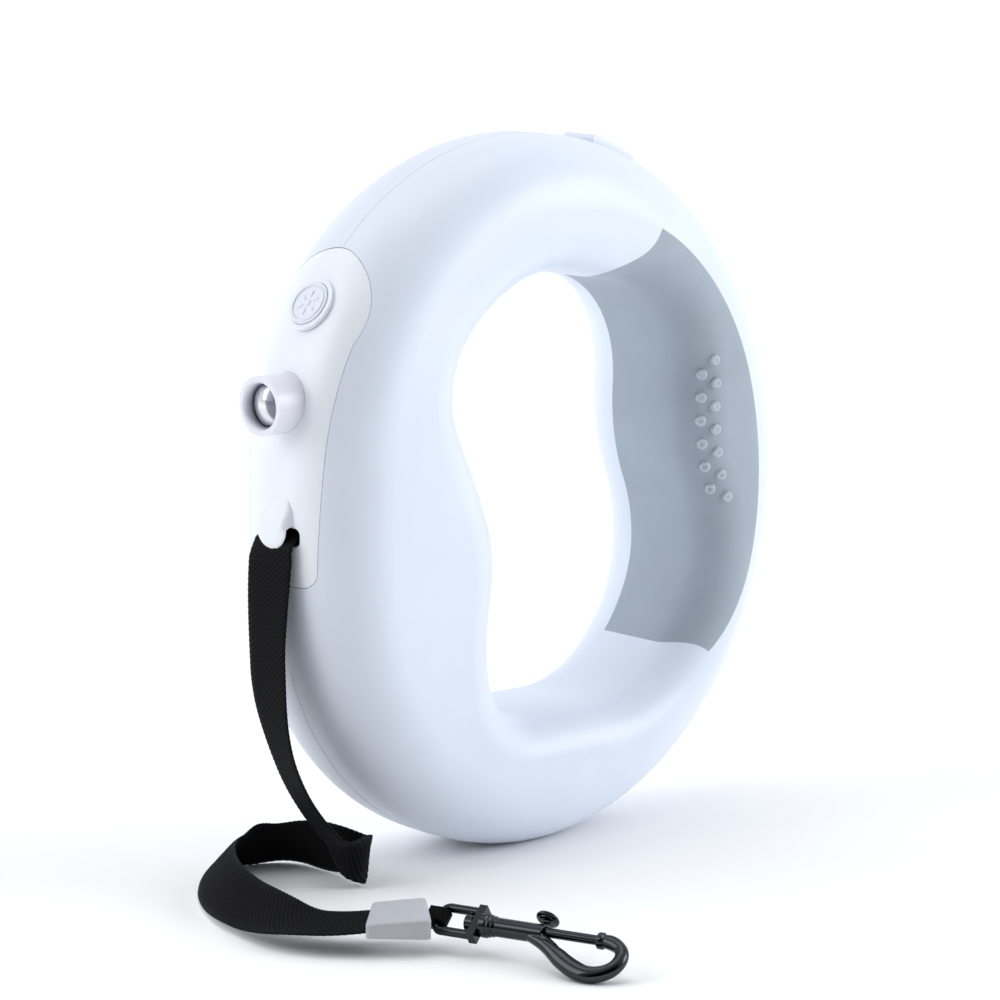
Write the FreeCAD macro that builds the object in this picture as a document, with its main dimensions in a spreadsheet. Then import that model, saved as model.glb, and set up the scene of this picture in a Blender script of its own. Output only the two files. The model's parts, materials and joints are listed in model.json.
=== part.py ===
import FreeCAD, Part
import math
import os
from FreeCAD import Placement, Rotation, Vector

# Retractable leash: a ring-shaped housing with a soft grip, a sprung tape reel in the front,
# a thumb brake on top, a torch with its own push button, and a short tape ending in a snap hook.
# Lengths in millimetres, Z up.  The origin is the middle of the flat foot, on the ground.
# The ring axis is Y, the tape leaves at -X and the grip is at +X.

os.makedirs("parts", exist_ok=True)
doc = FreeCAD.newDocument("RetractableLeash")
sheet = doc.addObject("Spreadsheet::Sheet", "Dims")

DRIVING = {
    "half_width": 76.0, "half_height": 82.5, "thickness": 40.0, "edge_round": 16.0,
    "hole_round": 10.0, "wall": 2.4, "front_limit": 66.0, "foot_cut": 0.8,
    "inlay_skin": 1.4, "liner_back": 8.0, "panel_gap": 0.15, "panel_head": 14.5, "panel_head_height": 46.0,
    "panel_foot_corner": 4.0, "panel_foot_half": 11.0, "panel_foot_height": -12.0,
    "torch_height": 28.0, "torch_radius": 6.6, "torch_tip": 76.0,
    "reel_x": -44.5, "reel_z": -14.0, "reel_radius": 21.5, "hub_radius": 7.0,
    "wound_radius": 19.5, "tape_width": 13.0, "tape_thickness": 1.2, "flange": 1.1,
    "axle_radius": 2.0, "running_gap": 0.05, "brake_plane": 9.7, "brake_thickness": 2.3,
    "slot_height": -1.0, "slot_depth": 4.2, "slot_half_width": 6.9,
    "brake_x": 28.0, "brake_cap": 13.0, "brake_raise": 2.2, "button_radius": 5.2,
    "screw_radius": 1.25, "screw_head": 2.6, "boss_radius": 3.4,
    "hook_x": -72.2, "hook_y": -62.6, "hook_height": 6.25, "hook_heading": -71.8, "hook_roll": 35.0,
    "shaft_radius": 2.1, "bolt_radius": 1.15, "bolt_travel": 6.0,
    "sleeve_length": 14.0, "sleeve_width": 14.0, "sleeve_thickness": 4.2,
    "sleeve_heading": -38.0, "sleeve_roll": 4.0,
}
for row, (word, value) in enumerate(DRIVING.items(), 1):
    sheet.set(f"A{row}", word)
    sheet.set(f"B{row}", str(value))
    sheet.setAlias(f"B{row}", word)
sheet.set("D1", "=half_height - foot_cut")
sheet.setAlias("D1", "ring_height")
doc.recompute()


def dim(word):
    return float(sheet.get(word))


RING = dim("ring_height")
NODES = {}
COUNT = [0]
UP = Vector(0, 0, 1)
AXIS_TURN = {"x": Rotation(Vector(0, 1, 0), 90), "y": Rotation(Vector(1, 0, 0), -90),
             "z": Rotation()}


def fresh(prefix):
    COUNT[0] += 1
    return f"{prefix}{COUNT[0]}"


def place(obj, x, y, z, turn=None):
    """Put an object at x, y and height z above the ring centre; each may be a sheet rule."""
    if turn is not None:
        obj.Placement = Placement(Vector(), turn)
    obj.setExpression("Placement.Base.x", str(x))
    obj.setExpression("Placement.Base.y", str(y))
    obj.setExpression("Placement.Base.z", f"Dims.ring_height + ({z})")
    return obj


def rod(radius, length, x, y, z, axis="y"):
    obj = doc.addObject("Part::Cylinder", fresh("Rod"))
    obj.setExpression("Radius", str(radius))
    obj.setExpression("Height", str(length))
    turn = AXIS_TURN[axis] if isinstance(axis, str) else axis
    return place(obj, x, y, z, turn)


def cone(r1, r2, length, x, y, z, axis="y"):
    obj = doc.addObject("Part::Cone", fresh("Cone"))
    obj.setExpression("Radius1", str(r1))
    obj.setExpression("Radius2", str(r2))
    obj.setExpression("Height", str(length))
    turn = AXIS_TURN[axis] if isinstance(axis, str) else axis
    return place(obj, x, y, z, turn)


def box(dx, dy, dz, x, y, z, turn=None):
    obj = doc.addObject("Part::Box", fresh("Block"))
    obj.setExpression("Length", str(dx))
    obj.setExpression("Width", str(dy))
    obj.setExpression("Height", str(dz))
    return place(obj, x, y, z, turn)


def fuse(*shapes):
    obj = doc.addObject("Part::MultiFuse", fresh("Fuse"))
    obj.Shapes = list(shapes)
    obj.Refine = True
    return obj


def cut(base, *tools):
    obj = doc.addObject("Part::Cut", fresh("Cut"))
    obj.Base = base
    obj.Tool = tools[0] if len(tools) == 1 else fuse(*tools)
    return obj


def common(first, second):
    obj = doc.addObject("Part::MultiCommon", fresh("Common"))
    obj.Shapes = [first, second]
    return obj


def solid(shape):
    """A shape that has no primitive or sketch of its own, placed after its shape is set."""
    obj = doc.addObject("Part::Feature", fresh("Shape"))
    obj.Shape = shape
    obj.setExpression("Placement.Base.z", "Dims.ring_height")
    return obj


def node(name, obj):
    obj.Label = name
    NODES[name] = obj
    return obj


def prism(points, start, length):
    """Straight-sided plate: x, z corner points at y = start, pulled along Y."""
    corners = [Vector(x, start, z) for x, z in points]
    face = Part.Face(Part.makePolygon(corners + corners[:1]))
    return face.extrude(Vector(0, length, 0))


# ---------------------------------------------------------------- housing outline
RIM_STEPS = 16
# Hand hole wall, centre of the ring at 0, 0: (x, z) round the hole from its top.
HAND_HOLE = ((5, 51), (-17, 47), (-31.5, 29), (-25.5, 9), (-19.5, -12), (-21.3, -30), (-16, -47.5),
             (4, -51), (25.5, -50), (41, -38), (48, -18), (41.5, 10), (40.6, 29), (30, 44.5))


def rim_points():
    """Points on the outer rim; the front is pressed flatter beyond the front limit."""
    limit = -dim("front_limit")
    points = []
    for step in range(RIM_STEPS):
        turn = 2 * math.pi * step / RIM_STEPS
        x = dim("half_width") * math.cos(turn)
        z = dim("half_height") * math.sin(turn)
        if x < limit:
            x = limit + (x - limit) / 2
        points.append(Vector(x, z, 0))
    return points


def arc_from_tangent(start, tangent, end):
    """Arc from a start point along a tangent to an end point, as its three points."""
    chord = end - start
    lean = tangent - chord * (tangent.dot(chord) / chord.dot(chord))
    middle = (start + end) / 2
    if lean.Length > 1e-6:
        angle = tangent.getAngle(chord)
        lean.normalize()
        middle += lean * (chord.Length / 2 * math.tan(angle / 2))
    return start, middle, end


def arc_chain(points, closed):
    """Tangent arcs through the points, two between each pair."""
    curve = Part.BSplineCurve()
    curve.interpolate(Points=points, PeriodicFlag=closed)
    pairs = list(zip(points, points[1:] + points[:1]))
    if not closed:
        pairs.pop()
    chain = []
    for start, end in pairs:
        t0, t1 = (Vector(*curve.tangent(curve.parameter(spot))[0]) for spot in (start, end))
        run = end - start
        square = 2 * t0.dot(t1) - 2
        half = run.dot(t0 + t1)
        reach = run.dot(run) / (half + math.sqrt(half ** 2 - square * run.dot(run)))
        join = (start + t0 * reach + end - t1 * reach) / 2
        chain.append(arc_from_tangent(start, t0, join))
        back = arc_from_tangent(end, t1 * -1, join)
        chain.append((join, back[1], end))
    return chain


def moved_arc(arc, left):
    """The arc moved to its left by a distance, keeping its centre."""
    curve = Part.Arc(*arc).toShape().Curve
    centre = curve.Center
    turn = (arc[0] - centre).cross(arc[1] - centre).z
    scale = 1 - left * math.copysign(1, turn) / curve.Radius
    return tuple(centre + (spot - centre) * scale for spot in arc)


RIM_ARCS = arc_chain(rim_points(), True)
HOLE_ARCS = arc_chain([Vector(x, z, 0) for x, z in HAND_HOLE], True)


def origin_plane(body, role):
    for item in body.Origin.OriginFeatures:
        if item.Role == role:
            return item
    raise ValueError(role)


def face_edges(shape, inner):
    """Edges of the two flat faces, those of the hand hole or those of the rim."""
    names = []
    for number, edge in enumerate(shape.Edges, 1):
        spot = edge.CenterOfMass
        level = edge.BoundBox
        flat = level.YLength < 0.01 and abs(abs(spot.y) - shape.BoundBox.YMax) < 0.01
        near = math.hypot(spot.x / dim("half_width"), spot.z / dim("half_height")) < 0.83
        if flat and near == inner:
            names.append(f"Edge{number}")
    return names


def ring_body(name, inset):
    """The rounded ring, moved in from its outer skin by the inset."""
    body = doc.addObject("PartDesign::Body", name)
    sketch = body.newObject("Sketcher::SketchObject", name + "Outline")
    sketch.AttachmentSupport = [(origin_plane(body, "XZ_Plane"), "")]
    sketch.MapMode = "FlatFace"
    moved = [moved_arc(arc, inset) for arc in RIM_ARCS]
    moved += [moved_arc(arc, -inset) for arc in HOLE_ARCS]
    for arc in moved:
        edge = Part.Arc(*arc).toShape()
        sketch.addGeometry(Part.ArcOfCircle(edge.Curve, *edge.ParameterRange), False)
    pad = body.newObject("PartDesign::Pad", name + "Pad")
    pad.Profile = sketch
    pad.Midplane = True
    pad.setExpression("Length", f"Dims.thickness - 2 * {inset}")
    doc.recompute()
    rim = body.newObject("PartDesign::Fillet", name + "RimRound")
    rim.Base = (pad, face_edges(pad.Shape, False))
    rim.setExpression("Radius", f"Dims.edge_round - {inset}")
    doc.recompute()
    hole = body.newObject("PartDesign::Fillet", name + "HoleRound")
    hole.Base = (rim, face_edges(rim.Shape, True))
    hole.setExpression("Radius", f"Dims.hole_round - {inset}")
    body.setExpression("Placement.Base.z", "Dims.ring_height")
    doc.recompute()
    return body


outer_form = ring_body("OuterForm", 0)
cavity = ring_body("Cavity", dim("wall"))
inlay_form = ring_body("InlayForm", dim("inlay_skin"))


# ---------------------------------------------------------------- inlaid panel and grip liner
def tangent_turn(run_x, run_z, r_from, r_to):
    """Angle of the outward normal of the line that touches two corner circles."""
    length = math.hypot(run_x, run_z)
    return math.asin((r_to - r_from) / length) + math.atan2(-run_x, run_z)


def panel_prism(gap):
    """Tapered plate with a round head, pulled through the front of the rim."""
    head = dim("panel_head") + gap
    foot = dim("panel_foot_corner") + gap
    foot_y = dim("panel_foot_half") - dim("panel_foot_corner")
    head_z = dim("panel_head_height")
    foot_z = dim("panel_foot_height") + dim("panel_foot_corner")
    turn = tangent_turn(-foot_y, head_z - foot_z, foot, head)
    start = -90

    def spot(y, z, radius, angle):
        return Vector(start, y + radius * math.cos(angle), z + radius * math.sin(angle))

    right_head = spot(0, head_z, head, -turn)
    right_foot = spot(foot_y, foot_z, foot, -turn)
    left_head = Vector(start, -right_head.y, right_head.z)
    left_foot = Vector(start, -right_foot.y, right_foot.z)
    mid = -math.pi / 4 - turn / 2
    right_corner = spot(foot_y, foot_z, foot, mid)
    left_corner = Vector(start, -right_corner.y, right_corner.z)
    base_z = foot_z - foot
    right_base = Vector(start, foot_y, base_z)
    left_base = Vector(start, -foot_y, base_z)
    top = Vector(start, 0, head_z + head)
    edges = [Part.Arc(left_head, top, right_head), Part.LineSegment(right_head, right_foot),
             Part.Arc(right_foot, right_corner, right_base), Part.LineSegment(right_base, left_base),
             Part.Arc(left_base, left_corner, left_foot), Part.LineSegment(left_foot, left_head)]
    wire = Part.Wire([edge.toShape() for edge in edges])
    return solid(Part.Face(wire).extrude(Vector(45, 0, 0)))


def arc_edges(points):
    """Tangent arcs through x, z points, drawn in front of the ring."""
    upright = Placement(Vector(0, -30, 0), Rotation(Vector(1, 0, 0), 90))
    chain = arc_chain([Vector(x, z, 0) for x, z in points], False)
    return [Part.Arc(*[upright.multVec(spot) for spot in arc]).toShape() for arc in chain]


def liner_prism():
    """Outline of the soft grip seen along the ring axis."""
    top = [(6, 40), (14, 50), (23, 54), (29, 60)]
    side = [(29, 60), (45, 48), (56, 32), (62.5, 8), (62.5, -14), (57, -32), (47, -43)]
    base = [(47, -43), (38, -41), (27, -46), (20, -40)]
    closing = Part.makePolygon([Vector(20, -30, -40), Vector(14, -30, 0), Vector(6, -30, 40)])
    wire = Part.Wire(arc_edges(top) + arc_edges(side) + arc_edges(base) + closing.Edges)
    return solid(Part.Face(wire).extrude(Vector(0, 30 + dim("liner_back"), 0)))


panel_zone = cut(common(outer_form, panel_prism(dim("panel_gap"))), inlay_form)
liner_zone = cut(common(outer_form, liner_prism()), inlay_form)

# Light button seat: a spot on the rim and the outward direction there.
BUTTON_TURN = math.asin(49 / dim("half_height"))
BUTTON_SPOT = Vector(-dim("half_width") * math.cos(BUTTON_TURN), 0, 49)
BUTTON_OUT = Vector(-math.cos(BUTTON_TURN) / dim("half_width"), 0,
                    math.sin(BUTTON_TURN) / dim("half_height"))
BUTTON_OUT.normalize()
BUTTON_AIM = Rotation(UP, BUTTON_OUT)


def button_rod(radius, low, high):
    """Round piece on the light button axis; low and high are heights above the rim."""
    foot = BUTTON_SPOT + BUTTON_OUT * low
    return rod(radius, high - low, foot.x, foot.y, foot.z, BUTTON_AIM)


def button_box(across, along, low, high):
    """Square piece on the light button axis, across in Y."""
    turn = Rotation(Vector(0, 1, 0), -math.degrees(math.atan2(-BUTTON_OUT.x, BUTTON_OUT.z)))
    corner = BUTTON_SPOT + turn.multVec(Vector(-along / 2, -across / 2, low))
    return box(along, across, high - low, corner.x, corner.y, corner.z, turn)


SLOT_CORNER = 1.5
slot_low = dim("slot_height") - dim("slot_depth") / 2
slot_block = Part.makeBox(20, 2 * dim("slot_half_width"), dim("slot_depth"),
                          Vector(-85, -dim("slot_half_width"), slot_low))
slot_edges = [edge for edge in slot_block.Edges if edge.BoundBox.XLength > 1]
slot_cut = solid(slot_block.makeFillet(SLOT_CORNER, slot_edges))
torch_hole = rod("Dims.torch_radius + Dims.running_gap", 40, -90, 0, "Dims.torch_height", "x")
light_hole = button_rod(dim("button_radius") + 0.1, -4, 6)
collar_low = button_rod(dim("button_radius") + 1.1, -0.6, 0.35)
collar = cut(collar_low, button_rod(dim("button_radius") + 0.1, -3, 3))
panel_skin = cut(common(outer_form, panel_prism(0)), inlay_form)
panel_raw = cut(panel_skin, slot_cut, torch_hole, button_rod(dim("button_radius") + 0.1, -4, 6))
front_panel = node("front_panel", fuse(panel_raw, cut(collar, inlay_form)))

NUB_ROWS = 7
NUB_PITCH = 5.55


def hole_wall_x(height):
    """X of the hand hole wall on the grip side at a height above the ring centre."""
    wall = Part.Wire([Part.Arc(*arc).toShape() for arc in HOLE_ARCS])
    level = Part.makeLine(Vector(20, height, 0), Vector(60, height, 0))
    return wall.distToShape(level)[1][0][0].x


def nub(reach, height):
    """A small round stud on the front shoulder of the grip, reach away from the hole wall."""
    radius = dim("hole_round")
    lead = max(radius - reach, 0)
    depth = dim("thickness") / 2 - radius + math.sqrt(radius ** 2 - lead ** 2)
    return Part.makeSphere(1.2, Vector(hole_wall_x(height) + reach, 0.5 - depth, height))


nubs = [nub(6.6, 27.4 - row * NUB_PITCH) for row in range(NUB_ROWS)]
nubs += [nub(3.6, 24.0 - row * NUB_PITCH) for row in range(NUB_ROWS - 1)]
nub_group = solid(Part.makeCompound(nubs))
grip_liner = node("grip_liner", fuse(liner_zone, cut(nub_group, inlay_form)))

# ---------------------------------------------------------------- shells
BOSSES = ((5, 58.6), (48, 46), (61, -2), (40, -60), (-30, -60), (-46, 56))
ring_shell = cut(outer_form, cavity, panel_zone, liner_zone, slot_cut, torch_hole, light_hole,
                 box("Dims.brake_cap + 0.6", 10.6, 40, "Dims.brake_x - Dims.brake_cap / 2 - 0.3", -5.3, 66),
                 box(120, 60, 5, -60, -30, "-Dims.ring_height - 5"))


def shell_half(side):
    """One half of the housing, side -1 at the front face and +1 at the back face."""
    reach = 17.8
    near = 0 if side > 0 else -reach
    posts = [rod("Dims.boss_radius", reach, x, near, z) for x, z in BOSSES]
    if side < 0:
        posts.append(rod(6, 0.8 + 0.2, "Dims.reel_x", -17.8, "Dims.reel_z"))
        posts.append(box(4.4, 5.5, 3.3, -69, -14, 0.9))
        posts.append(rod(3, 8.6, -18, -17.8, 66))
        posts.append(rod(3, 8.6, -60, -17.8, 12))
    else:
        posts.append(rod(4.5, 5.2, "Dims.reel_x", 12.6, "Dims.reel_z"))
        posts.append(box(4.4, 5.5, 3.3, -69, 8.5, 0.9))
        posts.append(rod(3, 5.6, -18, 12.2, 66))
        posts.append(rod(3, 5.6, -60, 12.2, 12))
        posts.append(box(12, 22, 2, "Dims.brake_x - 6", -4, 57))
    ribs = common(fuse(*posts), inlay_form)
    half = common(ring_shell, box(200, 40, 200, -100, 0 if side > 0 else -40, -100))
    bores = [rod("Dims.axle_radius", 35, "Dims.reel_x", -17.5, "Dims.reel_z"),
             rod(1.5, 35, -18, -17.3, 66), rod(1.5, 35, -60, -17.3, 12),
             rod(1.5, 27, -66, -13.5, 2.4)]
    for x, z in BOSSES:
        bores.append(rod("Dims.screw_radius", 26, x, -12.5, z))
        if side > 0:
            bores.append(rod("Dims.screw_head + 0.3", 12, x, 12.5, z))
    return cut(fuse(half, ribs), *bores)


front_shell = node("front_shell", shell_half(-1))
back_shell = node("back_shell", shell_half(1))
screws = []
for x, z in BOSSES:
    shank = rod("Dims.screw_radius", 24.5, x, -12, z)
    head = rod("Dims.screw_head", 2.2, x, 12.5, z)
    drive = box(3.2, 1.4, 0.7, x - 1.6, 14, z - 0.35)
    screws.append(cut(fuse(shank, head), drive))
screw_group = doc.addObject("Part::Compound", "ScrewGroup")
screw_group.Links = screws
node("shell_screws", screw_group)

# ---------------------------------------------------------------- torch
node("torch_barrel", cut(rod("Dims.torch_radius", 16, "-Dims.torch_tip", 0, "Dims.torch_height", "x"),
                         rod("Dims.torch_radius - 1", 18, "-Dims.torch_tip - 1", 0,
                             "Dims.torch_height", "x")))
node("torch_lens", fuse(rod("Dims.torch_radius - 1", 1.2, "-Dims.torch_tip + 1.6", 0,
                            "Dims.torch_height", "x"),
                        cone(3.0, 4.6, 0.6, "-Dims.torch_tip + 1.0", 0, "Dims.torch_height", "x")))
reflector = rod("Dims.torch_radius - 1", 8, "-Dims.torch_tip + 2.8", 0, "Dims.torch_height", "x")
node("torch_reflector", cut(reflector, cone(5.0, 1.9, 8, "-Dims.torch_tip + 2.8", 0,
                                            "Dims.torch_height", "x")))
node("torch_led", rod(1.6, 1.6, "-Dims.torch_tip + 9.2", 0, "Dims.torch_height", "x"))
node("torch_board", rod("Dims.torch_radius - 1", 1.2, "-Dims.torch_tip + 10.8", 0,
                        "Dims.torch_height", "x"))

# ---------------------------------------------------------------- light button and electronics
light_button = fuse(button_rod(dim("button_radius"), -3.6, 0.7),
                    button_rod(dim("button_radius") + 1.0, -4.9, -3.6),
                    button_rod(1.6, -6.6, -4.7))
node("light_button", light_button)
node("tact_switch", fuse(button_box(6, 6, -10.7, -7.8), button_rod(1.5, -7.9, -7.3)))
node("control_board", button_box(18, 14, -11.9, -10.7))
node("cell_holder", cut(button_rod(9.1, -20.0, -11.9), button_rod(8.1, -19.1, -11)))
cells = doc.addObject("Part::Compound", "CellGroup")
cells.Links = [button_rod(8.0, -19.1, -15.9), button_rod(8.0, -15.9, -12.7)]
node("coin_cells", cells)

# ---------------------------------------------------------------- tape reel
REEL = ("Dims.reel_x", "Dims.reel_z")


def reel_rod(radius, start, length):
    return rod(radius, length, REEL[0], start, REEL[1])


spool_half = "(Dims.tape_width / 2 + 0.4)"
spool = fuse(reel_rod("Dims.hub_radius", f"-{spool_half}", f"2 * {spool_half}"),
             reel_rod("Dims.reel_radius", f"-{spool_half} - Dims.flange", "Dims.flange"))
bore = reel_rod("Dims.axle_radius + Dims.running_gap", -20, 40)
node("reel_drum", cut(spool, bore))

TEETH = 24
TOOTH_TIP = 18.0
TOOTH_ROOT = 16.0
TOOTH_STEP = 2 * math.pi / TEETH
NOSE_TURN = math.radians(140)


def reel_spot(radius, angle, y):
    return Vector(dim("reel_x") + radius * math.cos(angle), y,
                  dim("reel_z") + radius * math.sin(angle))


outline = []
for tooth in range(TEETH):
    angle = NOSE_TURN - tooth * TOOTH_STEP
    outline.append(reel_spot(TOOTH_ROOT, angle, dim("brake_plane") - 1.6))
    outline.append(reel_spot(TOOTH_TIP, angle, dim("brake_plane") - 1.6))
teeth = Part.Face(Part.makePolygon(outline + outline[:1])).extrude(
    Vector(0, dim("brake_thickness") + 1.6, 0))
node("ratchet_wheel", cut(fuse(solid(teeth), reel_rod("Dims.reel_radius", spool_half,
                                                      f"Dims.brake_plane - 1.5 - {spool_half}")),
                          bore))
node("tape_winding", cut(reel_rod("Dims.wound_radius", "-Dims.tape_width / 2", "Dims.tape_width"),
                         reel_rod("Dims.hub_radius", -20, 40)))
node("reel_axle", reel_rod("Dims.axle_radius", -17.5, 35))
node("spring_arbor", cut(reel_rod(3.6, -15.5, f"15.5 - {spool_half} - Dims.flange"), bore))
CUP_RADIUS = 14.5
node("spring_cup", cut(reel_rod(CUP_RADIUS, -16, 7.6), reel_rod(CUP_RADIUS - 1, -17, 7.8),
                       reel_rod(3.9, -10, 5)))
node("spring_cover", cut(reel_rod(CUP_RADIUS, -16.8, 0.8), reel_rod("Dims.axle_radius", -18, 3)))


def spiral_face(start, step, half_turns, thick, y):
    """Flat coil spring seen along the reel axis, built from half circles."""
    lines = []
    for shift in (-thick / 2, thick / 2):
        arcs = []
        for half in range(half_turns):
            radius = start + half * step / 2 + shift
            middle = step / 2 if half % 2 else 0
            sign = 1 if half % 2 == 0 else -1
            x0 = dim("reel_x") + middle
            z0 = dim("reel_z")
            arcs.append(Part.Arc(Vector(x0 + sign * radius, y, z0), Vector(x0, y, z0 + sign * radius),
                                 Vector(x0 - sign * radius, y, z0)).toShape())
        lines.append(arcs)
    inner, outer = lines
    first = [arcs[0].valueAt(arcs[0].FirstParameter) for arcs in lines]
    last = [arcs[-1].valueAt(arcs[-1].LastParameter) for arcs in lines]
    caps = [Part.makeLine(*first), Part.makeLine(*last)]
    edges = inner + outer + caps
    return Part.Face(Part.Wire(Part.__sortEdges__(edges)))


node("power_spring", solid(spiral_face(4.4, 1.25, 13, 0.35, -15.4).extrude(Vector(0, 5.6, 0))))

# Tape from the winding, past the guide pin and down behind the outlet tongue.
WOUND_TOP = dim("wound_radius") + 0.4
TAPE_BEND = (-71.4, -1.4)
TAPE_DROP = (-72.3, -5.6)
run_x = TAPE_BEND[0] - dim("reel_x")
run_z = TAPE_BEND[1] - dim("reel_z")
leave = math.atan2(run_z, run_x) - math.acos(WOUND_TOP / math.hypot(run_x, run_z))
leave_x = dim("reel_x") + WOUND_TOP * math.cos(leave)
leave_z = dim("reel_z") + WOUND_TOP * math.sin(leave)
THIN = 0.5
inner_run = prism([(leave_x, leave_z), TAPE_BEND, TAPE_DROP, (TAPE_DROP[0] - THIN, TAPE_DROP[1]),
                   (TAPE_BEND[0] - THIN / 2, TAPE_BEND[1] + THIN), (leave_x, leave_z + THIN)],
                  -dim("tape_width") / 2, dim("tape_width"))
node("inner_tape", solid(inner_run))
node("guide_pin", rod(1.5, 27, -66, -13.5, 2.4))

# ---------------------------------------------------------------- thumb brake
BRAKE_Y = "Dims.brake_plane"
BRAKE_T = "Dims.brake_thickness"
LEVER_PIVOT = (-18, 66)
LEVER_PATH = (LEVER_PIVOT, (-36, 50.5), (-49, 37), (-52.8, 26))
LEVER_END = (28, 66.8)
PAWL_PIVOT = (-60, 12)
PAWL_TURN = 9.0


def bar(start, end, half):
    """Flat link between two round ends in the brake plane."""
    run = Vector(end[0] - start[0], end[1] - start[1], 0)
    run.normalize()
    side = Vector(-run.y * half, run.x * half, 0)
    corners = [(start[0] + side.x, start[1] + side.y), (end[0] + side.x, end[1] + side.y),
               (end[0] - side.x, end[1] - side.y), (start[0] - side.x, start[1] - side.y)]
    plate = solid(prism(corners, dim("brake_plane"), dim("brake_thickness")))
    return [plate, rod(half, BRAKE_T, end[0], BRAKE_Y, end[1])]


lever = [rod(3.4, BRAKE_T, LEVER_PIVOT[0], BRAKE_Y, LEVER_PIVOT[1])]
for start, end in zip(LEVER_PATH, LEVER_PATH[1:]):
    lever += bar(start, end, 2.2)
lever += bar(LEVER_PIVOT, LEVER_END, 2.2)
node("brake_lever", cut(fuse(*lever), rod(1.55, 9, LEVER_PIVOT[0], 6, LEVER_PIVOT[1])))
node("lever_pin", rod(1.5, 33.6, LEVER_PIVOT[0], -17.3, LEVER_PIVOT[1]))
node("pawl_pin", rod(1.5, 33.6, PAWL_PIVOT[0], -17.3, PAWL_PIVOT[1]))


def pawl_nose():
    """Hook of the pawl, drawn engaged in a tooth gap and swung back to rest."""
    span = math.radians(0.6), math.radians(6.5)
    y = dim("brake_plane")
    corners = [reel_spot(TOOTH_ROOT + 0.5, NOSE_TURN + span[0], y),
               reel_spot(TOOTH_TIP + 1.2, NOSE_TURN + span[0], y),
               Vector(PAWL_PIVOT[0] + 2.4, y, PAWL_PIVOT[1]),
               Vector(PAWL_PIVOT[0] - 2.4, y, PAWL_PIVOT[1]),
               reel_spot(TOOTH_TIP + 1.8, NOSE_TURN + span[1], y),
               reel_spot(TOOTH_ROOT + 1.2, NOSE_TURN + span[1], y)]
    rest = Placement(Vector(), Rotation(Vector(0, 1, 0), PAWL_TURN),
                     Vector(PAWL_PIVOT[0], 0, PAWL_PIVOT[1]))
    corners = [rest.multVec(corner) for corner in corners]
    face = Part.Face(Part.makePolygon(corners + corners[:1]))
    return face.extrude(Vector(0, dim("brake_thickness"), 0))


pawl = [rod(3, BRAKE_T, PAWL_PIVOT[0], BRAKE_Y, PAWL_PIVOT[1]), solid(pawl_nose())]
pawl += bar(PAWL_PIVOT, (-57.4, 26), 1.6)
node("brake_pawl", cut(fuse(*pawl), rod(1.55, 9, PAWL_PIVOT[0], 6, PAWL_PIVOT[1])))

raised = outer_form.Shape.copy()
raised.translate(Vector(0, 0, dim("brake_raise")))
cap_left = dim("brake_x") - dim("brake_cap") / 2
cap_low = RING + 70.1
cap = Part.makeBox(dim("brake_cap"), 10, 30, Vector(cap_left, -5, cap_low)).common(raised)
cap = cap.makeFillet(0.9, [edge for edge in cap.Edges if edge.BoundBox.ZMin > RING + 73.5])
high = cavity.Shape.copy()
high.translate(Vector(0, 0, -0.1))
lower = cavity.Shape.copy()
lower.translate(Vector(0, 0, -1.8))
rim_plate = Part.makeBox(dim("brake_cap") + 4, 15, 40, Vector(cap_left - 2, -7.5, RING + 55))
rim_plate = rim_plate.common(high).cut(lower)
foot_block = Part.makeBox(3.6, 7.8, 2.0, Vector(dim("brake_x") - 3, 4.2, RING + 69.1))
button_shape = cap.fuse([rim_plate, foot_block]).removeSplitter()
brake_button = doc.addObject("Part::Feature", "BrakeButton")
brake_button.Shape = button_shape
node("brake_button", brake_button)


def coil_spring(radius, wire_radius, pitch, height, spot):
    """Round-wire coil standing on a spot, its axis up or along X when lying."""
    path = Part.makeHelix(pitch, height, radius)
    path.translate(spot)
    ring = Part.Wire(Part.makeCircle(wire_radius, spot + Vector(radius, 0, 0), Vector(0, 1, 0)))
    return Part.Wire(path).makePipeShell([ring], True, True)


node("button_spring", solid(coil_spring(3.4, 0.4, 1.9, 10.0, Vector(dim("brake_x"), 0, 59.45))))

# ---------------------------------------------------------------- outlet, tape, sleeve
TONGUE_RADIUS = 4.7
TONGUE_THICK = 1.0
TONGUE_RISE = 2.0
tongue = rod(TONGUE_RADIUS, TONGUE_THICK, -73.9, 0, f"Dims.slot_height + {TONGUE_RISE}", "x")
tongue_root = box(3.4, 2 * TONGUE_RADIUS, 3.4, -73.9, -TONGUE_RADIUS,
                  f"Dims.slot_height + {TONGUE_RISE + 0.3}")
node("outlet_lip", cut(fuse(tongue, tongue_root), common(outer_form, box(20, 40, 40, -79, -20, -20))))

HEADING = Rotation(UP, dim("hook_heading"))
HOOK_TURN = HEADING.multiply(Rotation(Vector(1, 0, 0), dim("hook_roll")))
HOOK_BASE = Vector(dim("hook_x"), dim("hook_y"), dim("hook_height") - RING)
BOW_WIRE = 1.0
BOW_HALF = 3.1
BOW_END = -7.2
SLEEVE_TURN = Rotation(UP, dim("sleeve_heading")).multiply(
    Rotation(Vector(1, 0, 0), dim("sleeve_roll")))
SLEEVE_RUN = SLEEVE_TURN.multVec(Vector(1, 0, 0))
LOOP_REACH = 2.6
BOW_BAR = HOOK_BASE + HOOK_TURN.multVec(Vector(BOW_END, 0, 0))
SLEEVE_END = BOW_BAR - SLEEVE_RUN * LOOP_REACH
SLEEVE_START = SLEEVE_END - SLEEVE_RUN * dim("sleeve_length")

GROUND = -RING
LYING = GROUND + 6.5
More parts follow.
